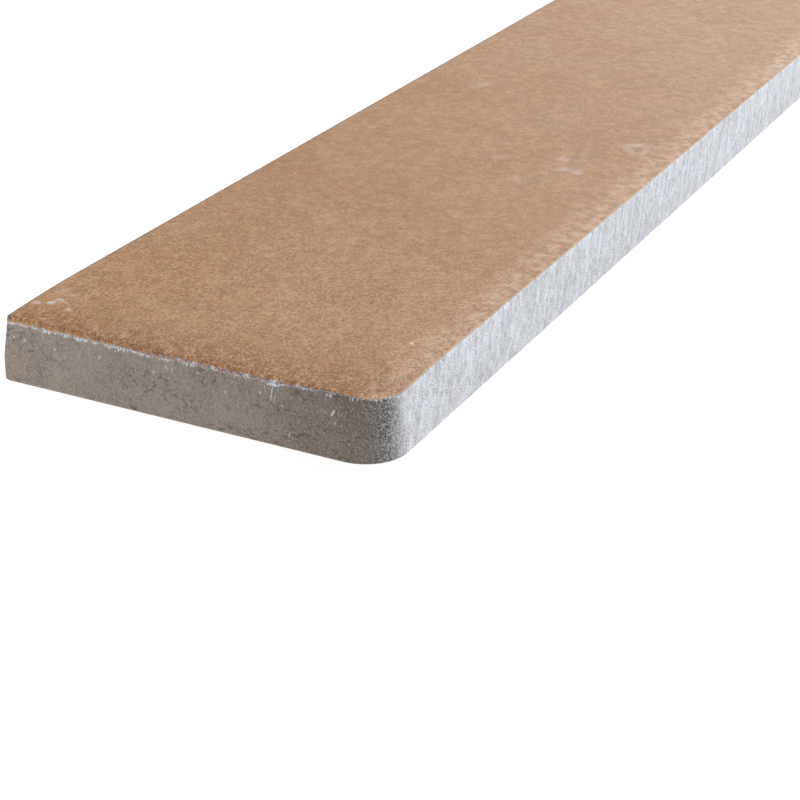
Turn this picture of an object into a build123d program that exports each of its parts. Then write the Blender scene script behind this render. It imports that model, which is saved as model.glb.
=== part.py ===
# Glazed porcelain tile: a slim plank of pressed and fired porcelain with a matte
# glazed face on top. Millimetres. X runs along the length, Y across the width and
# Z up, with the origin at the middle of the underside.
import math
import os

from build123d import *

# Overall size of the finished tile
LENGTH = 250.0
WIDTH = 48.7
THICKNESS = 8.1

# Edges as pressed, at both ends and along the -Y side: a band at the foot stands
# straight, as the die wall shapes it, and above it the edge leans inward so that the
# tile leaves the die, with well rounded corners seen from above
BAND_HEIGHT = 3.0
SIDE_LEAN = 0.55
END_LEAN = 1.1
CORNER_RADIUS = 5.4
FOOT_CHAMFER = 0.25

# Glazed face: flat in the middle, with a cushion that falls in an arc to its edge
# and dips a little more at the corners, and a small rounding where glaze meets body
CUSHION_WIDTH = 14.0
CUSHION_FALL = 0.4
CUSHION_CORNER_RADIUS = 1.0
GLAZE_EDGE_RADIUS = 0.8

# The +Y side is cut straight after firing: a strip comes off there, with the edge and
# the cushion that were pressed on it, and the sharp edges are eased
CUT_OFF_STRIP = 20.0
CUT_EDGE_CHAMFER = 0.2

# Underside: shallow pockets between ribs, which the tile adhesive keys into
POCKET_SIZE = 9.0
POCKET_DEPTH = 0.5
POCKET_LEAN = 0.25
RIB_WIDTH = 2.0
FRAME_WIDTH = 3.0

# How far a cutting shape runs past the tile
OVERRUN = 1.0


def pressed_blank():
    """The straight band at the foot and the leaning edges above it, all round."""
    width = WIDTH + CUT_OFF_STRIP
    foot = RectangleRounded(LENGTH, width, CORNER_RADIUS)
    face = RectangleRounded(LENGTH - 2 * END_LEAN, width - 2 * SIDE_LEAN, CORNER_RADIUS - END_LEAN)
    band = extrude(foot, amount=BAND_HEIGHT)
    upper = loft([Pos(0, 0, BAND_HEIGHT) * foot, Pos(0, 0, THICKNESS) * face], ruled=True)
    return band + upper


def cushion_waste():
    """What the cushion takes off the blank: one arc section swept round the flat."""
    flat_length = LENGTH - 2 * (END_LEAN + CUSHION_WIDTH)
    flat_width = WIDTH + CUT_OFF_STRIP - 2 * (SIDE_LEAN + CUSHION_WIDTH)
    flat = Pos(0, 0, THICKNESS) * RectangleRounded(flat_length, flat_width, CUSHION_CORNER_RADIUS)
    arc_radius = (CUSHION_WIDTH**2 + CUSHION_FALL**2) / (2 * CUSHION_FALL)
    reach = math.sqrt(2) * (CUSHION_WIDTH + CUSHION_CORNER_RADIUS) + OVERRUN
    fall = arc_radius - math.sqrt(arc_radius**2 - reach**2)
    side = Plane((0, -flat_width / 2, THICKNESS), x_dir=(0, -1, 0), z_dir=(-1, 0, 0))
    with BuildSketch(side) as section:
        with BuildLine():
            arc = TangentArc((0, 0), (reach, -fall), tangent=(1, 0))
            Polyline(arc @ 1, (reach, OVERRUN), (0, OVERRUN), (0, 0))
        make_face()
    return sweep(section.sketch, path=flat.wire())


def is_glaze_rim(edge):
    """True for the edges where the cushion meets the leaning sides and ends."""
    heights = [vertex.Z for vertex in edge.vertices()]
    return min(heights) > BAND_HEIGHT + CUSHION_FALL and max(heights) < THICKNESS - CUSHION_FALL / 2


def pressed_tile():
    """The tile as it leaves the kiln, before its +Y side is cut."""
    body = pressed_blank() - cushion_waste()
    body = fillet(body.edges().filter_by(is_glaze_rim), GLAZE_EDGE_RADIUS)
    return Pos(0, CUT_OFF_STRIP / 2, 0) * body


def keying_pockets():
    """Pockets that narrow inward, in an even grid so that ribs cross at the middle."""
    pitch = POCKET_SIZE + RIB_WIDTH
    pairs_along = int((LENGTH - 2 * FRAME_WIDTH + RIB_WIDTH) / (2 * pitch))
    pairs_across = int((WIDTH - 2 * FRAME_WIDTH + RIB_WIDTH) / (2 * pitch))
    lean = math.degrees(math.atan(POCKET_LEAN / POCKET_DEPTH))
    pocket = extrude(Rectangle(POCKET_SIZE, POCKET_SIZE), amount=POCKET_DEPTH, taper=lean)
    return [place * pocket for place in GridLocations(pitch, pitch, 2 * pairs_along, 2 * pairs_across)]


def tile():
    """The whole finished tile: one solid."""
    cut_side = Plane((0, WIDTH / 2, 0), z_dir=(0, 1, 0))
    body = split(pressed_tile(), bisect_by=cut_side, keep=Keep.BOTTOM)
    underside = body.faces().sort_by(Axis.Z)[0]
    body = chamfer(underside.outer_wire().edges(), FOOT_CHAMFER)
    cut_face = body.faces().sort_by(Axis.Y)[-1]
    body = chamfer(cut_face.edges(), CUT_EDGE_CHAMFER)
    return body - keying_pockets()


os.makedirs("parts", exist_ok=True)
solid = tile()
solid.label = "tile"
export_step(solid, "parts/tile.step")
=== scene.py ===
import math
import random

import bmesh
import bpy
from mathutils import Matrix, Vector, noise


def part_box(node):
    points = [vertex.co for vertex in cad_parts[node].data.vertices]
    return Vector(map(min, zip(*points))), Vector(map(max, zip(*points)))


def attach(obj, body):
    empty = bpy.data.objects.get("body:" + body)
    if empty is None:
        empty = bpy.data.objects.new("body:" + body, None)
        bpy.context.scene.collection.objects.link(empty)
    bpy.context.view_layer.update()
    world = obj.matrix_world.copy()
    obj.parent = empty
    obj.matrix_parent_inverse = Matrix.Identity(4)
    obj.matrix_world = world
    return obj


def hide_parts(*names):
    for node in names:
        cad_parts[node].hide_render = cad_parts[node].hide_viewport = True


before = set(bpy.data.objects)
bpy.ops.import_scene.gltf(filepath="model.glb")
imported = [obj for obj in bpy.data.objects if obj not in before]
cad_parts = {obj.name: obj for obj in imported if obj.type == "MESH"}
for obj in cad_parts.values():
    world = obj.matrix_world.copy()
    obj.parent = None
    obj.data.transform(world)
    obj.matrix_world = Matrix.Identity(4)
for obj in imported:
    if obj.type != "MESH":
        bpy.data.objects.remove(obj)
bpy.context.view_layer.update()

# The tile is one piece of porcelain: fine grey-brown body powder pressed in a steel
# die, sprayed with a matte brown glaze and fired. Both ends and the -Y side are as
# pressed, with a cushioned face edge, and the +Y side is cut straight after firing.
MM = 0.001
# The origin is at the middle of the underside, so the box's highest corner gives these
HALF_LENGTH, HALF_WIDTH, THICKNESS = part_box("tile")[1]

BAND_HEIGHT = 3.0 * MM
SIDE_LEAN = 0.55 * MM
END_LEAN = 1.1 * MM
CORNER_RADIUS = 5.4 * MM
FOOT_CHAMFER = 0.25 * MM
CUSHION_WIDTH = 14.0 * MM
CUSHION_FALL = 0.4 * MM
CUSHION_CORNER_RADIUS = 1.0 * MM
GLAZE_EDGE_REACH = 0.6 * MM
CUT_EDGE_REACH = 0.2 * MM

FLAT_HALF_LENGTH = HALF_LENGTH - END_LEAN - CUSHION_WIDTH
FLAT_HALF_WIDTH = HALF_WIDTH - SIDE_LEAN - CUSHION_WIDTH
CUSHION_ARC_RADIUS = (CUSHION_WIDTH**2 + CUSHION_FALL**2) / (2 * CUSHION_FALL)

# How finely the outline is divided. Along the sides the points lie closer towards the
# near end, which the eye is nearest to, and there they are spaced at this share of an
# even spacing. The powers draw the rows of the section closer to the rim.
NEAR_END_CUTS = 319
FAR_END_CUTS = 119
SIDE_CUTS = 359
PRESSED_CORNER_SEGMENTS = 44
CUT_CORNER_SEGMENTS = 4
NEAR_SPACING = 0.4
LEAN_POWER = 1.4
CUSHION_POWER = 1.3


def side_of(value):
    """-1 on the low side of the middle and 1 on the high side."""
    return -1.0 if value < 0 else 1.0


def inset_outline(foot, end_inset, side_inset, pressed_radius):
    """The point of a smaller outline that lies opposite a point of the foot outline."""
    foot_radius = CORNER_RADIUS if foot.y < 0 else CUT_EDGE_REACH
    radius = pressed_radius if foot.y < 0 else CUT_EDGE_REACH
    foot_centre = Vector((HALF_LENGTH - foot_radius, HALF_WIDTH - foot_radius))
    centre = Vector((HALF_LENGTH - end_inset - radius, HALF_WIDTH - side_inset - radius))
    from_middle = Vector((abs(foot.x), abs(foot.y)))
    past = from_middle - foot_centre
    if past.x > 0 and past.y > 0:
        place = centre + past * (radius / foot_radius)
    elif past.x > 0:
        place = Vector((HALF_LENGTH - end_inset, from_middle.y * centre.y / foot_centre.y))
    else:
        place = Vector((from_middle.x * centre.x / foot_centre.x, HALF_WIDTH - side_inset))
    return Vector((place.x * side_of(foot.x), place.y * side_of(foot.y)))


def cushion_height(place):
    """Height of the glazed face: flat in the middle, falling in an arc outside it."""
    past_x = max(abs(place.x) - FLAT_HALF_LENGTH + CUSHION_CORNER_RADIUS, 0.0)
    past_y = max(-place.y - FLAT_HALF_WIDTH + CUSHION_CORNER_RADIUS, 0.0)
    reach = max(math.hypot(past_x, past_y) - CUSHION_CORNER_RADIUS, 0.0)
    return THICKNESS - CUSHION_ARC_RADIUS + math.sqrt(CUSHION_ARC_RADIUS**2 - reach**2)


def leaning_edge(foot, height):
    """Point on the leaning edge above a point of the foot outline."""
    share = (height - BAND_HEIGHT) / (THICKNESS - BAND_HEIGHT)
    end_inset = END_LEAN * share
    side_inset = SIDE_LEAN * share if foot.y < 0 else 0.0
    place = inset_outline(foot, end_inset, side_inset, CORNER_RADIUS - end_inset)
    return Vector((place.x, place.y, height))


def rim(foot):
    """Where the leaning edge would meet the cushion if nothing rounded it."""
    height = THICKNESS - CUSHION_FALL
    for _ in range(3):
        height = cushion_height(leaning_edge(foot, height))
    return leaning_edge(foot, height)


def rim_reach(foot):
    """How far the rounding of the rim reaches: the cut side has only an eased edge."""
    return CUT_EDGE_REACH if foot.y > HALF_WIDTH - CUT_EDGE_REACH / 2 else GLAZE_EDGE_REACH


def cushion_point(foot, share):
    """Point of the cushion, from its rim at share 0 to the flat's outline at share 1."""
    edge = rim(foot)
    end_inset = HALF_LENGTH - FLAT_HALF_LENGTH
    side_inset = HALF_WIDTH - FLAT_HALF_WIDTH
    flat = inset_outline(foot, end_inset, side_inset, CUSHION_CORNER_RADIUS)
    place = edge.xy.lerp(flat, share)
    return Vector((place.x, place.y, cushion_height(place)))


# The section from the ground to the flat of the face, one function for each stretch. Each
# gives the point above a point of the foot outline at a share of its stretch, and how far
# that point lies from the rim: plus on the glazed face, minus down the sides.
def foot_chamfer(foot, share):
    """The eased edge under the foot, down to the ground."""
    inset = FOOT_CHAMFER * share
    place = inset_outline(foot, inset, inset, CORNER_RADIUS - inset)
    height = FOOT_CHAMFER - inset
    return Vector((place.x, place.y, height)), height - rim(foot).z


def band(foot, share):
    """The straight band at the foot, as the die wall shapes it."""
    height = FOOT_CHAMFER + (BAND_HEIGHT - FOOT_CHAMFER) * share
    return Vector((foot.x, foot.y, height)), height - rim(foot).z


def lean(foot, share):
    """The leaning edge above the band, with its rows closest to the rim."""
    upward = 1 - (1 - share) ** LEAN_POWER
    height = BAND_HEIGHT + (rim(foot).z - rim_reach(foot) - BAND_HEIGHT) * upward
    return leaning_edge(foot, height), height - rim(foot).z


def rounded_rim(foot, share):
    """The small rounding between the leaning edge and the cushion."""
    edge = rim(foot)
    below = leaning_edge(foot, edge.z - rim_reach(foot))
    inside = cushion_point(foot, rim_reach(foot) / CUSHION_WIDTH)
    place = below.lerp(edge, share).lerp(edge.lerp(inside, share), share)
    return place, (2 * share - 1) * rim_reach(foot)


def cushion(foot, share):
    """The cushion from the rounded rim inward, with its rows closest to the rim."""
    inward = share**CUSHION_POWER
    past_rim = inward + (1 - inward) * rim_reach(foot) / CUSHION_WIDTH
    return cushion_point(foot, past_rim), past_rim * CUSHION_WIDTH


def foot_outline(builder):
    """Ring of edges round the foot: a rectangle with its corners rounded or eased."""
    bmesh.ops.create_grid(builder, x_segments=1, y_segments=1, size=1.0)
    bmesh.ops.scale(builder, vec=(HALF_LENGTH, HALF_WIDTH, 1.0), verts=builder.verts)
    for side, radius, segments in ((-1, CORNER_RADIUS, PRESSED_CORNER_SEGMENTS),
                                   (1, CUT_EDGE_REACH, CUT_CORNER_SEGMENTS)):
        corners = [vertex for vertex in builder.verts if vertex.co.y * side > 0]
        bmesh.ops.bevel(builder, geom=corners, offset=radius, offset_type="OFFSET",
                        affect="VERTICES", segments=segments, profile=0.5, material=-1)
    bmesh.ops.delete(builder, geom=builder.faces[:], context="FACES_ONLY")
    straights = [edge for edge in builder.edges if edge.calc_length() > CORNER_RADIUS]
    for end, cuts in ((-1, NEAR_END_CUTS), (1, FAR_END_CUTS), (0, SIDE_CUTS)):
        chosen = [edge for edge in straights
                  if round((edge.verts[0].co.x + edge.verts[1].co.x) / (2 * HALF_LENGTH)) == end]
        bmesh.ops.subdivide_edges(builder, edges=chosen, cuts=cuts)
    return builder.edges[:]


def crowd_towards_near_end(builder):
    """Slides the points of the long sides so that they lie closer towards the near end."""
    for vertex in builder.verts:
        straight = HALF_LENGTH - (CORNER_RADIUS if vertex.co.y < 0 else CUT_EDGE_REACH)
        if abs(vertex.co.x) < straight:
            share = (vertex.co.x + straight) / (2 * straight)
            crowded = share * (NEAR_SPACING + (1 - NEAR_SPACING) * share)
            vertex.co.x = -straight + 2 * straight * crowded


def place_point(builder, vertex, stretch, share):
    """Puts a point on a stretch of the section and notes its distance from the rim in mm."""
    feet = builder.verts.layers.float_vector["foot"]
    rim_distances = builder.verts.layers.float["rim_distance"]
    vertex.co, distance = stretch(vertex[feet], share)
    vertex[rim_distances] = distance / MM


def raise_ring(builder, edges, stretch, share):
    """Extrudes a ring of edges to a share of a stretch of the section."""
    made = bmesh.ops.extrude_edge_only(builder, edges=edges)["geom"]
    fresh = {item for item in made if isinstance(item, bmesh.types.BMVert)}
    for vertex in fresh:
        place_point(builder, vertex, stretch, share)
    return [item for item in made if isinstance(item, bmesh.types.BMEdge)
            and item.verts[0] in fresh and item.verts[1] in fresh]


builder = bmesh.new()
foot_ring = foot_outline(builder)
crowd_towards_near_end(builder)
feet = builder.verts.layers.float_vector.new("foot")
rim_distances = builder.verts.layers.float.new("rim_distance")
for vertex in builder.verts:
    vertex[feet] = vertex.co
    place_point(builder, vertex, band, 0.0)
ring = foot_ring
for stretch, rows in ((band, 8), (lean, 15), (rounded_rim, 8), (cushion, 14)):
    for row in range(1, rows + 1):
        ring = raise_ring(builder, ring, stretch, row / rows)
bmesh.ops.edgeloop_fill(builder, edges=ring)

# Underside: rows of shallow pockets between ribs, inside a flat frame
POCKET_SIZE = 9.0 * MM
POCKET_DEPTH = 0.5 * MM
POCKET_LEAN = 0.25 * MM
RIB_WIDTH = 2.0 * MM
FRAME_WIDTH = 3.0 * MM
POCKET_ROUNDING = 0.12 * MM
SHARP_EDGE = math.radians(20.0)

pitch = POCKET_SIZE + RIB_WIDTH
pockets_along = 2 * int((2 * HALF_LENGTH - 2 * FRAME_WIDTH + RIB_WIDTH) / (2 * pitch))
pockets_across = 2 * int((2 * HALF_WIDTH - 2 * FRAME_WIDTH + RIB_WIDTH) / (2 * pitch))
ground_ring = raise_ring(builder, foot_ring, foot_chamfer, 1.0)
grid = bmesh.ops.create_grid(builder, x_segments=pockets_along, y_segments=pockets_across, size=0.5)
bmesh.ops.scale(builder, vec=(pockets_along * pitch, pockets_across * pitch, 1.0), verts=grid["verts"])
pockets = list(dict.fromkeys(face for vertex in grid["verts"] for face in vertex.link_faces))
grid_edges = dict.fromkeys(edge for vertex in grid["verts"] for edge in vertex.link_edges)
grid_border = [edge for edge in grid_edges if edge.is_boundary]
bmesh.ops.triangle_fill(builder, edges=ground_ring + grid_border, use_beauty=True)
bmesh.ops.inset_individual(builder, faces=pockets, thickness=RIB_WIDTH / 2, use_even_offset=True)
bmesh.ops.inset_individual(builder, faces=pockets, thickness=POCKET_LEAN, depth=POCKET_DEPTH)
floor_corners = [vertex for face in pockets for vertex in face.verts]
pocket_edges = list(dict.fromkeys(edge for vertex in floor_corners for edge in vertex.link_edges))
bmesh.ops.bevel(builder, geom=pocket_edges, offset=POCKET_ROUNDING, offset_type="OFFSET",
                affect="EDGES", segments=2, profile=0.5, material=-1)
# The points of the pockets have no distance from the rim yet
for vertex in builder.verts:
    if vertex[rim_distances] == 0.0 and vertex.co.z < BAND_HEIGHT:
        vertex[rim_distances] = -THICKNESS / MM
bmesh.ops.recalc_face_normals(builder, faces=builder.faces)
for face in builder.faces:
    face.smooth = True
for edge in builder.edges:
    if edge.is_manifold and edge.verts[0].co.z < BAND_HEIGHT / 2:
        edge.smooth = edge.calc_face_angle() < SHARP_EDGE

# Chips: small scoops knocked out of the glaze rim along the near end, and a rim and
# sides that are a little uneven, all of it taken off the pressed shape. From here on
# lengths are in millimetres, up to the floor.
END = HALF_LENGTH / MM
SIDE = HALF_WIDTH / MM
FACE = THICKNESS / MM
UNEVENNESS = 0.03
UNEVEN_WAVE = 1.7
UNEVEN_FROM_RIM = 3.0
CHIPPED_FROM_END = 3.0
CHIPPED_FROM_RIM = 1.1
CHIP_GRAIN = 0.15
WHITE_CHIP_DEPTH = 0.1
CHIP_SEED = 11
SMALL_CHIPS = 240
# Least and most of each, and for the place across also where they are most frequent
SMALL_CHIP_ACROSS = (-19.0, 24.0, 0.0)
SMALL_CHIP_FROM_RIM = (-0.5, 0.0)
SMALL_CHIP_RADIUS = (0.10, 0.28)
SMALL_CHIP_DEPTH = (0.03, 0.10)
# Each large chip by its place across, distance from the rim, radius and depth
LARGE_CHIPS = (
    (22.9, -0.45, 0.35, 0.10),
    (20.9, -0.45, 0.45, 0.10),
    (19.4, -0.50, 0.50, 0.12),
    (16.4, -0.50, 0.75, 0.16),
    (11.7, -0.50, 0.35, 0.10),
    (9.3, -0.50, 0.30, 0.12),
    (1.6, -0.45, 0.40, 0.12),
    (0.0, -0.50, 0.60, 0.20),
    (-2.7, -0.65, 0.55, 0.12),
    (-6.9, -0.50, 0.65, 0.14),
    (-10.1, -0.45, 0.65, 0.20),
    (-12.9, -0.35, 0.45, 0.14),
    (-14.8, -0.25, 0.50, 0.12),
    (-17.3, -0.15, 0.35, 0.08),
)

chance = random.Random(CHIP_SEED)
chips = list(LARGE_CHIPS)
for _ in range(SMALL_CHIPS):
    y = chance.triangular(*SMALL_CHIP_ACROSS)
    from_rim = chance.uniform(*SMALL_CHIP_FROM_RIM)
    radius = chance.uniform(*SMALL_CHIP_RADIUS)
    chips.append((y, from_rim, radius, chance.uniform(*SMALL_CHIP_DEPTH)))
chip_layer = builder.verts.layers.float.new("chip")
builder.normal_update()
for vertex in builder.verts:
    distance = vertex[rim_distances]
    if vertex.co.z < FOOT_CHAMFER or distance > UNEVEN_FROM_RIM:
        continue
    place = vertex.co / MM
    wave = max(0.5 + 0.5 * noise.noise(place / UNEVEN_WAVE), 0.0)
    depth = UNEVENNESS * wave * min(UNEVEN_FROM_RIM - distance, 1.0)
    if place.x < CHIPPED_FROM_END - END and abs(distance) < CHIPPED_FROM_RIM:
        for y, from_rim, radius, most in chips:
            near = ((place.y - y) ** 2 + (distance - from_rim) ** 2) / radius**2
            if near < 1.0:
                scoop = most * (1 - near) * (1 + 0.5 * noise.noise(place / CHIP_GRAIN))
                vertex[chip_layer] = max(vertex[chip_layer], scoop / WHITE_CHIP_DEPTH)
                depth = max(depth, scoop)
    vertex.co -= vertex.normal * depth * MM

mesh = bpy.data.meshes.new("fired_tile")
builder.to_mesh(mesh)
builder.free()
fired_tile = bpy.data.objects.new("fired_tile", mesh)
bpy.context.scene.collection.objects.link(fired_tile)
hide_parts("tile")
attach(fired_tile, "root")

# Glazed porcelain: a matte brown glaze, sprayed in fine drops that fire to rust, olive
# and pinkish grains, over a grey-brown body that shows at the edges. The body is as the
# die leaves it, dull and finely grained, with drag streaks down the pressed side, white
# powder under the glaze line and a mauve band where the broken glaze shows its thickness.
GLAZE_ROUGHNESS = 0.7
GLAZE_SPECULAR = 0.35
RIM_EXTRA_ROUGHNESS = 0.2
BODY_ROUGHNESS = 0.92

material = bpy.data.materials.new("matte_glaze_on_pressed_porcelain")
material.use_nodes = True
mesh.materials.append(material)
tree = material.node_tree


def linear(hex_colour):
    """sRGB hex colour turned into the linear values that the shader takes."""
    channels = [int(hex_colour[i:i + 2], 16) / 255 for i in (0, 2, 4)]
    return [c / 12.92 if c <= 0.04045 else ((c + 0.055) / 1.055) ** 2.4 for c in channels] + [1.0]


def add(kind, *values, output="", **settings):
    """Adds a node with its settings, fills its inputs in their order with values or links,
    where None leaves one as it is, and returns an output: the first, or the one named."""
    node = tree.nodes.new("ShaderNode" + kind)
    for name, value in settings.items():
        setattr(node, name, value)
    for socket, value in zip([socket for socket in node.inputs if socket.enabled], values):
        if isinstance(value, bpy.types.NodeSocket):
            tree.links.new(value, socket)
        elif value is not None:
            socket.default_value = value
    return next(socket for socket in node.outputs if socket.enabled and output in ("", socket.name))


# Settings of the nodes that go smoothly from one value to another, and of those that
# work with colours, and how strong each finer layer of a grain pattern is
SMOOTH = {"interpolation_type": "SMOOTHSTEP"}
COLOURS = {"data_type": "RGBA"}
FINER_LAYER = 0.6


def grains(size, detail=0.0, stretch=None, turn=None):
    """Soft random grains from 0 to 1, of a size in millimetres, drawn out and turned."""
    spread = add("Mapping", place_mm, None, turn, stretch, vector_type="TEXTURE")
    return add("TexNoise", spread, 1 / size, detail, FINER_LAYER)


def spot(place, middle, turn, size):
    """A soft oval spot: 1 at its middle and 0 from its edge outward."""
    oval = add("Mapping", place, middle, turn, size, vector_type="TEXTURE")
    return add("TexGradient", oval, gradient_type="SPHERICAL", output="Fac")


def lay_over(colour, *layers, within=1.0):
    """Lays tints over a colour, one after another and only within a part of the surface.
    Each comes in as its pattern goes from start to full, and covers up to its share."""
    for pattern, start, full, share, tint in layers:
        cover = add("MapRange", pattern, start, full, 0.0, share, **SMOOTH)
        cover = add("Math", cover, within, operation="MULTIPLY")
        colour = add("Mix", cover, colour, linear(tint), **COLOURS)
    return colour


# Places on the tile: how far in from its ends and sides, and how far from the rim. Then
# parts of it, from 0 to 1: both ends, the near end, all but the cut side, the pressed
# side between its round corners and all but that, the stretch of an end beside the corner
# that is painted darker and browner as shade, the pressed side with its corners, and the round
# corners.
place_mm = add("Mapping", add("TexCoord", output="Object"), None, None, (1 / MM, 1 / MM, 1 / MM))
along = add("SeparateXYZ", place_mm, output="X")
across = add("SeparateXYZ", place_mm, output="Y")
from_end = add("Math", END, add("Math", along, operation="ABSOLUTE"), operation="SUBTRACT")
from_near_end = add("Math", END, along, operation="ADD")
from_pressed_side = add("Math", SIDE, across, operation="ADD")
from_cut_side = add("Math", SIDE, across, operation="SUBTRACT")
rim_distance = add("Attribute", attribute_name="rim_distance", output="Fac")
at_ends = add("MapRange", from_end, 4.0, 3.0, **SMOOTH)
near_end = add("MapRange", from_near_end, 5.0, 3.0, **SMOOTH)
uncut = add("MapRange", from_cut_side, 0.1, 0.25, **SMOOTH)
from_corner = add("Math", from_end, from_pressed_side, operation="SUBTRACT")
past_corner = add("MapRange", from_corner, 0.45, 4.75, **SMOOTH)
pressed_side = add("MapRange", from_pressed_side, 4.85, 2.35, 0.0, past_corner, **SMOOTH)
off_pressed_side = add("Math", 1.0, pressed_side, operation="SUBTRACT")
shaded_brown_stretch = add("MapRange", from_pressed_side, 15.35, 4.85, 0.0, at_ends, **SMOOTH)
close_to_side = add("MapRange", from_pressed_side, 3.85, 2.55, **SMOOTH)
side_and_corners = add("MapRange", from_end, 0.4, 2.2, 0.0, close_to_side, **SMOOTH)
on_corners = add("MapRange", from_end, 5.5, 2.5, 0.0, side_and_corners, **SMOOTH)

# Glaze colour: a brown ground, clouds and flecks in it, a pale band along the pressed side that
# is a painted highlight where the face slopes towards the key light, then the sprayed drops,
# rust, blotches and fine dark and light grains, all of them strongest at the rims of the ends.
# The finest real grains are under 0.1 mm wide and are drawn at 0.2, because finer ones would not show.
end_rim = add("MapRange", from_end, 9.0, 1.0, **SMOOTH)
fine = grains(0.2, 1.0)
drops = grains(0.36, 2.0)
flecks = grains(1.5, 2.0)
sheen_band_share = add("MapRange", flecks, 0.68, 0.32, 0.1, 0.55, **SMOOTH)
drop_share = add("MapRange", from_end, 65.0, 20.0, 0.25, 0.6, **SMOOTH)
drop_share = add("Math", end_rim, 0.2, drop_share, operation="MULTIPLY_ADD")
rust_share = add("Math", end_rim, 0.5, 0.25, operation="MULTIPLY_ADD")
blotch_share = add("Math", end_rim, 0.6, operation="MULTIPLY")
dark_share = add("Math", end_rim, 0.45, 0.2, operation="MULTIPLY_ADD")
light_share = add("Math", drop_share, 0.5, operation="MULTIPLY")
glaze = lay_over(
    linear("936746"),
    (grains(2.4, 3.0), 0.36, 0.64, 1.0, "8c6845"),
    (grains(11.0, 2.0), 0.35, 0.65, 0.45, "9b785a"),
    (grains(5.0, 3.0), 0.5, 0.7, 0.35, "875f3f"),
    (flecks, 0.5, 0.66, 0.32, "7d573a"),
    (flecks, 0.5, 0.36, 0.28, "b08c69"),
    # painted highlight: a pale band along the rim of the pressed side, where the face slopes towards
    # the key light
    (from_pressed_side, 6.35, 1.35, sheen_band_share, "ba9c86"),
    (drops, 0.5, 0.68, drop_share, "664228"),
    (drops, 0.48, 0.32, drop_share, "b28d66"),
    (grains(0.55, 2.0), 0.52, 0.68, rust_share, "8c4c1f"),
    (grains(1.1, 2.0), 0.45, 0.65, blotch_share, "734c31"),
    (fine, 0.55, 0.7, dark_share, "402f1f"),
    (fine, 0.42, 0.27, light_share, "c2a582"),
)

# Scuffs: pale rubbed places on the face with a ragged edge
RAGGED = 1.4
RAGGED_SIZE = 0.8
SCUFF_DEPTH = 6.0
# Each by its distance from the near end, place across, length, width, turn and share
FACE_SCUFFS = (
    (5.3, 23.3, 2.6, 1.3, -63.0, 0.45),
    (6.1, 21.6, 1.9, 1.5, -44.0, 0.75),
    (7.1, 21.2, 2.1, 1.2, -75.0, 0.55),
    (6.9, 20.4, 1.9, 0.8, -117.0, 0.5),
    (9.3, 22.4, 3.0, 2.2, -63.0, 0.25),
    (8.9, 20.7, 1.4, 1.3, -63.0, 0.4),
    (5.2, 18.8, 0.9, 1.4, -64.0, 0.7),
    (15.5, -19.5, 1.4, 0.6, -118.0, 0.8),
    (90.6, -17.0, 8.0, 2.2, 39.0, 0.28),
    (91.7, -18.9, 9.0, 1.8, 8.0, 0.28),
    (93.4, -17.0, 5.5, 2.8, -60.0, 0.3),
    (82.1, -10.3, 3.0, 3.2, -60.0, 0.3),
    (78.1, -12.0, 4.5, 2.4, -52.0, 0.3),
    (78.1, -14.0, 3.2, 2.8, -103.0, 0.36),
    (78.7, -2.3, 3.6, 3.0, -60.0, 0.22),
    (71.1, -8.4, 2.0, 5.0, -60.0, 0.2),
    (109.1, 14.0, 7.0, 3.6, -20.0, 0.2),
)
warp = add("TexNoise", place_mm, 1 / RAGGED_SIZE, 2.0, output="Color")
warped = add("VectorMath", warp, (RAGGED, RAGGED, RAGGED), place_mm, operation="MULTIPLY_ADD")
scuffed = 0.0
for from_the_end, y, length, width, turn, share in FACE_SCUFFS:
    middle = Vector((from_the_end - END, y, FACE)) + Vector((RAGGED, RAGGED, RAGGED)) / 2
    size = (length / 2, width / 2, SCUFF_DEPTH / 2)
    scuff = spot(warped, middle, (0.0, 0.0, math.radians(turn)), size)
    scuff = add("MapRange", scuff, 0.0, 0.8, 0.0, share, **SMOOTH)
    scuffed = add("Math", scuff, scuffed, operation="MAXIMUM")
scuffed_drops = add("MapRange", drops, 0.35, 0.6, 0.45, 0.9, **SMOOTH)
scuff_share = add("Math", scuffed, scuffed_drops, operation="MULTIPLY")
glaze = add("Mix", scuff_share, glaze, linear("c6bdb6"), **COLOURS)

# Body colour: a grey ground, painted darker and browner on the ends beside the round corners
# as shade, and painted paler on the pressed side as the light of the key softbox raking it,
# with grain, mottle and cloud, and dark smudges off the pressed side
SLOPE = (math.radians(8.0), 0.0, 0.0)
body_grain = grains(0.2, 1.0, stretch=(1.0, 1.0, 1.15))
grain_share = add("Math", shaded_brown_stretch, 0.12, 0.34, operation="MULTIPLY_ADD")
grain_share = add("Math", pressed_side, -0.45, grain_share, operation="MULTIPLY_ADD")
grain_share = add("Math", grain_share, 0.03, operation="MAXIMUM")
smudges = grains(0.4, 1.0, stretch=(1.0, 1.6, 1.0), turn=SLOPE)
smudge_share = grains(3.2, 1.0, stretch=(1.0, 3.0, 1.0), turn=SLOPE)
smudge_share = add("MapRange", smudge_share, 0.42, 0.58, 0.0, 0.55, **SMOOTH)
# painted shade: the body darker and browner on the ends beside the round corners
painted_shade_share = add("Math", shaded_brown_stretch, 0.75, operation="MULTIPLY")
body = add("Mix", painted_shade_share, linear("8f857c"), linear("64554a"), **COLOURS)
# painted highlight: the same body painted paler on the pressed side, as the key light rakes it
body = add("Mix", pressed_side, body, linear("b4b0b2"), **COLOURS)
body = lay_over(
    body,
    (body_grain, 0.5, 0.68, grain_share, "534b45"),
    (body_grain, 0.48, 0.32, grain_share, "bbb5b0"),
    (grains(0.8, 2.0, stretch=(1.0, 1.0, 1.2)), 0.46, 0.66, 0.3, "625952"),
    (grains(7.0, 2.0), 0.4, 0.7, 0.2, "a8a19a"),
)
body = lay_over(body, (smudges, 0.54, 0.66, smudge_share, "4c443f"), within=off_pressed_side)

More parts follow.
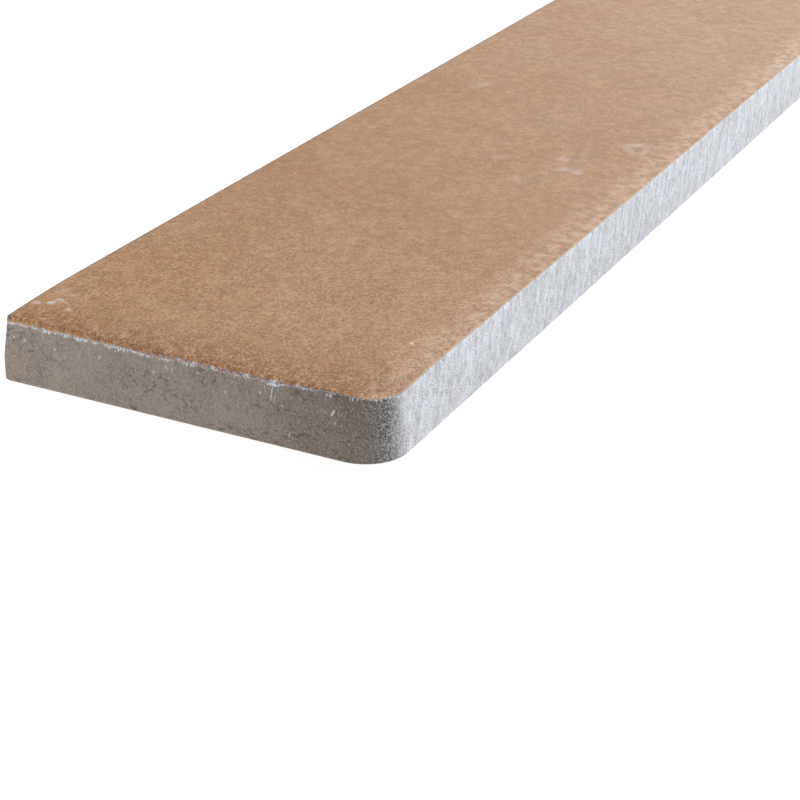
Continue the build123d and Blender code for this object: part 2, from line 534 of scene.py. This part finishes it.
# Pressed side: slanting streaks that the die wall left as the tile was pushed out. The
# threads in them are finer than 0.3 mm on a real tile and are drawn that wide.
SLANT = (0.0, math.radians(25.0), 0.0)
streaks = grains(0.9, 0.6, stretch=(1.0, 1.0, 6.0), turn=SLANT)
threads = grains(0.3, 1.0, stretch=(1.0, 1.0, 5.0), turn=SLANT)
body = lay_over(
    body,
    (streaks, 0.45, 0.7, 0.26, "807b7d"),
    (streaks, 0.45, 0.3, 0.16, "d8dce2"),
    (threads, 0.5, 0.68, 0.22, "858083"),
    (threads, 0.48, 0.32, 0.14, "e6eaee"),
    within=pressed_side,
)

# Pale specks, shown at about one in four of the places that they could take, and at the
# round corners white crumbs painted as glints of raking light, with painted shade in the hollows
# between them
SPECK_SPACING = 1.1
speck_distance = add("TexVoronoi", place_mm, 1 / SPECK_SPACING, output="Distance")
speck_pick = add("SeparateXYZ", speck_distance.node.outputs["Color"], output="X")
speck_share = add("MapRange", speck_pick, 0.74, 0.76, 0.0, 0.36, **SMOOTH)
body = lay_over(body, (speck_distance, 0.24, 0.06, speck_share, "dce2e8"))
crumbs = grains(0.19, 1.0, stretch=(1.0, 1.0, 1.15))
# painted highlights: white glints on the crumbs of the round corners
glinting_crumbs = add("Math", on_corners, 0.08, crumbs, operation="MULTIPLY_ADD")
body = lay_over(body, (glinting_crumbs, 0.59, 0.66, 0.5, "d2d9e0"), within=on_corners)
# painted shade: the hollows between the crumbs darkened
shaded_hollows = add("MapRange", crumbs, 0.48, 0.36, 0.0, on_corners, **SMOOTH)
body = add("Mix", shaded_hollows, body, (0.72, 0.72, 0.73, 1.0), blend_type="MULTIPLY", **COLOURS)

# Cut side: fine lines along the length, left by the saw
sawn = add("MapRange", from_cut_side, 0.15, 0.05, **SMOOTH)
saw_lines = grains(0.22, 1.0, stretch=(60.0, 1.0, 1.0))
body = lay_over(body, (saw_lines, 0.35, 0.65, sawn, "a39a92"))

# Scratches: white marks on the near end
SCRATCHED_FROM_END = 0.4
SCRATCH_DEPTH = 4.0
# Each by its place across, height, length, width, turn and share
END_SCRATCHES = (
    (-10.1, 6.78, 1.8, 0.4, 88.0, 0.9),
    (-10.15, 5.9, 2.6, 0.22, 4.0, 0.7),
    (-9.3, 6.2, 1.3, 0.16, -15.0, 0.45),
    (-10.6, 5.5, 1.4, 0.16, 2.0, 0.4),
    (-17.6, 5.3, 1.1, 0.42, 25.0, 0.6),
    (-18.0, 4.3, 0.5, 0.36, 0.0, 0.45),
    (-12.65, 1.75, 1.1, 0.25, 20.0, 0.45),
    (3.0, 6.0, 0.8, 0.3, -30.0, 0.4),
    (2.3, 5.9, 0.7, 0.25, 10.0, 0.4),
)
scratched = 0.0
for y, z, length, width, turn, share in END_SCRATCHES:
    middle = (SCRATCHED_FROM_END - END, y, z)
    size = (SCRATCH_DEPTH / 2, width / 2, length / 2)
    scratch = spot(place_mm, middle, (math.radians(turn), 0.0, 0.0), size)
    scratch = add("MapRange", scratch, 0.0, 0.5, 0.0, share, **SMOOTH)
    scratched = add("Math", scratch, scratched, operation="MAXIMUM")
scratched_grain = add("MapRange", body_grain, 0.35, 0.55, 0.35, 1.0, **SMOOTH)
scratch_share = add("Math", scratched, scratched_grain, operation="MULTIPLY")
body = add("Mix", scratch_share, body, linear("dde5ec"), **COLOURS)

# Where the glaze ends: it laps down over the rim of the ends, deepest towards the cut
# side, stops at the rim on the pressed side and is cut off clean along the cut side
lap_pressed = add("MapRange", from_pressed_side, 3.35, 15.35, -0.08, 0.34, **SMOOTH)
lap_cut = add("MapRange", across, 0.0, 9.0, 0.0, 0.29, **SMOOTH)
lap = add("Math", lap_pressed, lap_cut, operation="ADD")
lapped = add("Math", at_ends, uncut, operation="MULTIPLY")
ragged = add("MapRange", from_end, 4.0, 3.0, 0.12, 0.5, **SMOOTH)
ragged = add("Math", ragged, uncut, operation="MULTIPLY")
wander = add("Math", grains(0.4, 3.0), 0.5, operation="SUBTRACT")
cut_back = add("MapRange", from_cut_side, 0.25, 0.1, 0.0, -0.2, **SMOOTH)
glaze_line = add("Math", lap, lapped, rim_distance, operation="MULTIPLY_ADD")
glaze_line = add("Math", wander, ragged, glaze_line, operation="MULTIPLY_ADD")
glaze_line = add("Math", glaze_line, cut_back, operation="ADD")
glazed = add("MapRange", glaze_line, -0.03, 0.04, **SMOOTH)

# The glaze at its edge: paler over the rim of the near end, partly as the glaze is thinner there
# and partly a painted highlight for the dimmer light on the rim, and brighter still on its fold,
# which is all painted highlight, a cream fringe at the line towards the cut side, a brown shade
# with a pale line along the pressed side, and a dark grey-brown line along the cut edge
# paler over the near-end rim: thinner glaze, and a painted highlight that makes up for the dimmer
# light there
thin_and_lit_rim = add("MapRange", rim_distance, 0.7, 0.1, 0.0, near_end, **SMOOTH)
glaze = add("Mix", thin_and_lit_rim, glaze, (1.18, 1.24, 1.35, 1.0), blend_type="MULTIPLY", **COLOURS)
off_rim = add("Math", rim_distance, operation="ABSOLUTE")
# painted highlight: the fold of the rim brightened, more towards the pressed side
on_fold = add("MapRange", off_rim, 0.6, 0.15, 0.0, near_end, **SMOOTH)
fold_highlight_share = add("MapRange", across, 8.0, -8.0, 0.4, 1.0, **SMOOTH)
fold_highlight_share = add("Math", on_fold, fold_highlight_share, operation="MULTIPLY")
glaze = add("Mix", fold_highlight_share, glaze, (1.6, 1.6, 1.6, 1.0), blend_type="MULTIPLY", **COLOURS)
fringe_share = add("MapRange", across, 6.0, 12.0, 0.0, 0.45, **SMOOTH)
glaze = lay_over(glaze, (glaze_line, 0.3, 0.0, fringe_share, "cfc1a4"))
glaze = lay_over(
    glaze,
    (rim_distance, 0.9, 0.1, 0.15, "765841"),
    (rim_distance, 0.4, 0.0, 0.32, "d2b48c"),
    within=pressed_side,
)
# a dark grey-brown line laid along the cut edge
glaze = lay_over(glaze, (from_cut_side, 0.55, 0.25, 0.55, "6b5a4b"))

# Broken glaze: a mauve band below it, as thick as the glaze, then a thin patchy line of
# white powder, with threads where it was rubbed down, and the bottoms of the chips
band_pressed = add("MapRange", from_pressed_side, 4.35, 15.35, 0.05, 0.42, **SMOOTH)
band_cut = add("MapRange", across, 4.0, 9.0, 0.0, 0.3, **SMOOTH)
mauve_width = add("Math", band_pressed, band_cut, operation="SUBTRACT")
below_line = add("Math", glaze_line, -1.0, operation="MULTIPLY")
below_mauve = add("Math", below_line, mauve_width, operation="SUBTRACT")
broken = add("MapRange", below_mauve, 0.04, -0.03, 0.0, at_ends, **SMOOTH)
mauve = lay_over(linear("725c57"), (fine, 0.36, 0.62, 1.0, "bda09a"))
powder_threads = grains(0.18, 1.0, stretch=(1.0, 1.0, 2.6))
patches = grains(1.5, 2.0, stretch=(1.0, 1.0, 5.0))
powder_reach = add("MapRange", patches, 0.45, 0.75, 0.3, 1.0, **SMOOTH)
powder_reach = add("MapRange", powder_threads, 0.35, 0.85, 0.0, powder_reach, **SMOOTH)
powder_left = add("Math", powder_reach, below_mauve, operation="SUBTRACT")
powder_left = add("MapRange", powder_left, -0.1, 0.2, **SMOOTH)
powder = add("MapRange", below_mauve, -0.1, 0.0, 0.0, powder_left, **SMOOTH)
steady = add("MapRange", across, 7.0, 10.0, 0.3, 0.75, **SMOOTH)
patchy = add("MapRange", patches, 0.35, 0.6, 0.0, 0.9, **SMOOTH)
patchy = add("Math", patchy, steady, operation="MAXIMUM")
powder = add("Math", powder, patchy, operation="MULTIPLY")
chip = add("Attribute", attribute_name="chip", output="Fac")
chipped = add("MapRange", powder_threads, 0.35, 0.65, **SMOOTH)
chipped = add("MapRange", chip, 0.2, 1.2, 0.0, chipped, **SMOOTH)
powder = add("Math", powder, chipped, operation="MAXIMUM")
powder_share = add("MapRange", from_end, 4.5, 3.0, 0.078, 0.78, **SMOOTH)
powder_share = add("Math", powder_share, uncut, operation="MULTIPLY")
powder_share = add("Math", powder, powder_share, operation="MULTIPLY")
below_glaze = add("Mix", broken, body, mauve, **COLOURS)
below_glaze = add("Mix", powder_share, below_glaze, linear("dde6ee"), **COLOURS)
colour = add("Mix", glazed, below_glaze, glaze, **COLOURS)

# Relief in millimetres: sprayed drops and slow waves in the glaze, crumbs in the body,
# coarser on the pressed side and its corners, and streaks down that side. The glaze is
# matte, a little duller at the rim of the pressed side, and the body is duller still.
DROP_RELIEF = 0.012
WAVE_RELIEF = 0.03
CRUMB_RELIEF = 0.03
SIDE_EXTRA_RELIEF = 0.17
STREAK_RELIEF = 0.022
waves = add("Math", grains(3.5, 1.0), WAVE_RELIEF, operation="MULTIPLY")
glaze_relief = add("Math", grains(0.24, 1.0), DROP_RELIEF, waves, operation="MULTIPLY_ADD")
streaked = add("Math", streaks, pressed_side, operation="MULTIPLY")
streaked = add("Math", streaked, STREAK_RELIEF, operation="MULTIPLY")
crumbled = add("Math", side_and_corners, SIDE_EXTRA_RELIEF, CRUMB_RELIEF, operation="MULTIPLY_ADD")
body_relief = add("Math", crumbs, crumbled, streaked, operation="MULTIPLY_ADD")
relief = add("Mix", glazed, body_relief, glaze_relief, data_type="FLOAT")
bump = add("Bump", 1.0, MM, None, relief)
side_rim = add("MapRange", rim_distance, 0.9, 0.1, 0.0, pressed_side, **SMOOTH)
glaze_roughness = add("Math", side_rim, RIM_EXTRA_ROUGHNESS, GLAZE_ROUGHNESS, operation="MULTIPLY_ADD")
roughness = add("Mix", glazed, BODY_ROUGHNESS, glaze_roughness, data_type="FLOAT")
shader = tree.nodes["Principled BSDF"]
shader.inputs["Specular IOR Level"].default_value = GLAZE_SPECULAR
tree.links.new(colour, shader.inputs["Base Color"])
tree.links.new(roughness, shader.inputs["Roughness"])
tree.links.new(bump, shader.inputs["Normal"])

# The floor is a plain white sheet lit from below, as a light table is.
FLOOR_SIZE = 20.0
FLOOR_GLOW = 0.88
bpy.ops.mesh.primitive_plane_add(size=FLOOR_SIZE, location=(0, 0, 0))
floor = bpy.context.object
floor.name = "floor"
floor_material = bpy.data.materials.new("white_light_table")
floor_material.use_nodes = True
floor_shader = floor_material.node_tree.nodes["Principled BSDF"]
floor_shader.inputs["Base Color"].default_value = (0.3, 0.3, 0.3, 1)
floor_shader.inputs["Roughness"].default_value = 0.9
floor_shader.inputs["Emission Color"].default_value = (1, 1, 1, 1)
floor_shader.inputs["Emission Strength"].default_value = FLOOR_GLOW
floor.data.materials.append(floor_material)

# Studio light: an even white surround, a cool softbox high on the right, which rakes the
# long pressed side, a low warm panel behind the far end, which puts a sheen on the face,
# and a small pale card in front on the left, which opens the near end.
SURROUND = 0.3
world = bpy.data.worlds.new("studio")
bpy.context.scene.world = world
world.use_nodes = True
world.node_tree.nodes["Background"].inputs["Color"].default_value = (1, 1, 1, 1)
world.node_tree.nodes["Background"].inputs["Strength"].default_value = SURROUND


def softbox(name, place, aim, size, power, colour):
    """A square area light that looks at a point."""
    data = bpy.data.lights.new(name, "AREA")
    data.size = size
    data.energy = power
    data.color = colour
    light = bpy.data.objects.new(name, data)
    light.location = place
    light.rotation_euler = (Vector(aim) - Vector(place)).to_track_quat("-Z", "Y").to_euler()
    bpy.context.scene.collection.objects.link(light)


softbox("key_softbox", (1.35, -0.93, 1.15), (0, 0, 0), 0.6, 82, (0.83, 0.93, 1.0))
softbox("back_panel", (1.2, 0.2, 0.36), (0, 0, 0), 0.7, 8.0, (1.0, 0.94, 0.92))
softbox("front_card", (-0.17, 0.09, 0.04), (-HALF_LENGTH, 0, 0), 0.06, 0.055, (1.0, 0.94, 0.9))

# The camera stands where the photograph was taken from, worked out from the tile's
# straight edges: a long lens, low over the near end and to its right.
AIM = Vector((-108.2, -17.65, 0.0)) * MM
DISTANCE = 231.5 * MM
AZIMUTH = math.radians(-64.35)
ELEVATION = math.radians(25.31)
ROLL = math.radians(1.276)
FOCAL_LENGTH = 92.4
HALF_PIXEL = 0.056 * MM

back = Vector((math.sin(AZIMUTH) * math.cos(ELEVATION),
               -math.cos(AZIMUTH) * math.cos(ELEVATION),
               math.sin(ELEVATION)))
camera = bpy.data.objects.new("camera", bpy.data.cameras.new("camera"))
camera.data.lens = FOCAL_LENGTH
camera.data.sensor_width = 36.0
camera.data.clip_start = 0.01
facing = (-back).to_track_quat("-Z", "Y").to_matrix().to_4x4() @ Matrix.Rotation(ROLL, 4, "Z")
half_pixel = facing @ Vector((-HALF_PIXEL, HALF_PIXEL, 0.0))
camera.matrix_world = Matrix.Translation(AIM + back * DISTANCE + half_pixel) @ facing
bpy.context.scene.collection.objects.link(camera)
bpy.context.scene.camera = camera
bpy.context.scene.view_settings.view_transform = "Standard"
